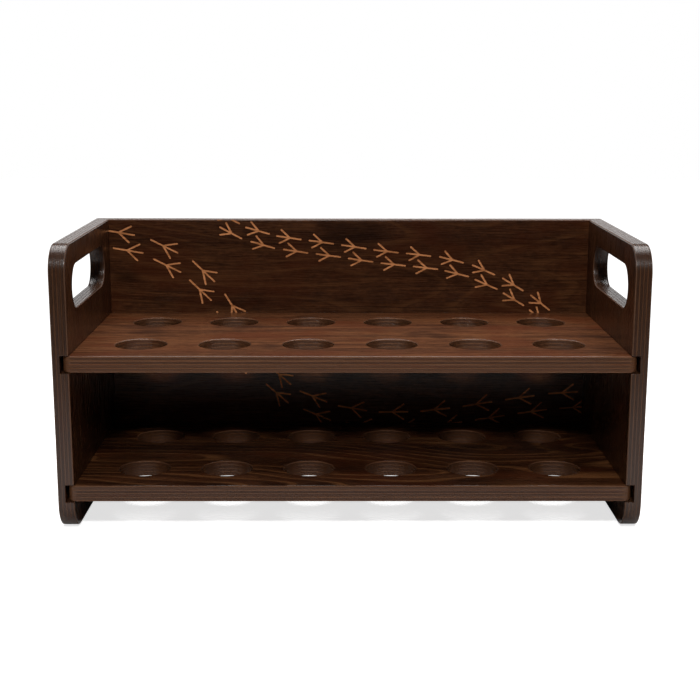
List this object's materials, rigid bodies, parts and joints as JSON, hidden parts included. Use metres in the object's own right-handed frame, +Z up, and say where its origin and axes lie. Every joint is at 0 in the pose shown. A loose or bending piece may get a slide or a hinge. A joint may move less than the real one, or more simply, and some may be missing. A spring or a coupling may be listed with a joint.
{
  "type": "egg holder tray",
  "caption": "Tiered countertop egg rack in dark stained birch plywood: open front, rounded sides with hand holes, and loose trays with round egg holes that slide in grooves.",
  "frame": {"origin": "on the floor, under the middle of the rack's bounding box", "axes": "+X along the width, to the right of a person facing the open front; +Y towards the back panel; +Z up"},
  "size_m": [0.42, 0.187, 0.207],
  "materials": {
    "frame_plywood": "satin stained birch plywood",
    "back_plywood": "satin stained birch plywood, engraved tracks burnt through to tan wood",
    "tray_plywood": "satin stained birch plywood"
  },
  "bodies": {
    "frame": {"left_side_panel": "frame_plywood", "right_side_panel": "frame_plywood", "back_panel": "back_plywood"},
    "upper_tray_body": {"upper_tray": "tray_plywood"},
    "lower_tray_body": {"lower_tray": "tray_plywood"}
  },
  "joints": [
    {"name": "upper_tray_slide", "type": "slide", "parent": "frame", "child": "upper_tray_body", "axis": [0, -1, 0], "range_m": [0, 0.15]},
    {"name": "lower_tray_slide", "type": "slide", "parent": "frame", "child": "lower_tray_body", "axis": [0, -1, 0], "range_m": [0, 0.15]}
  ]
}
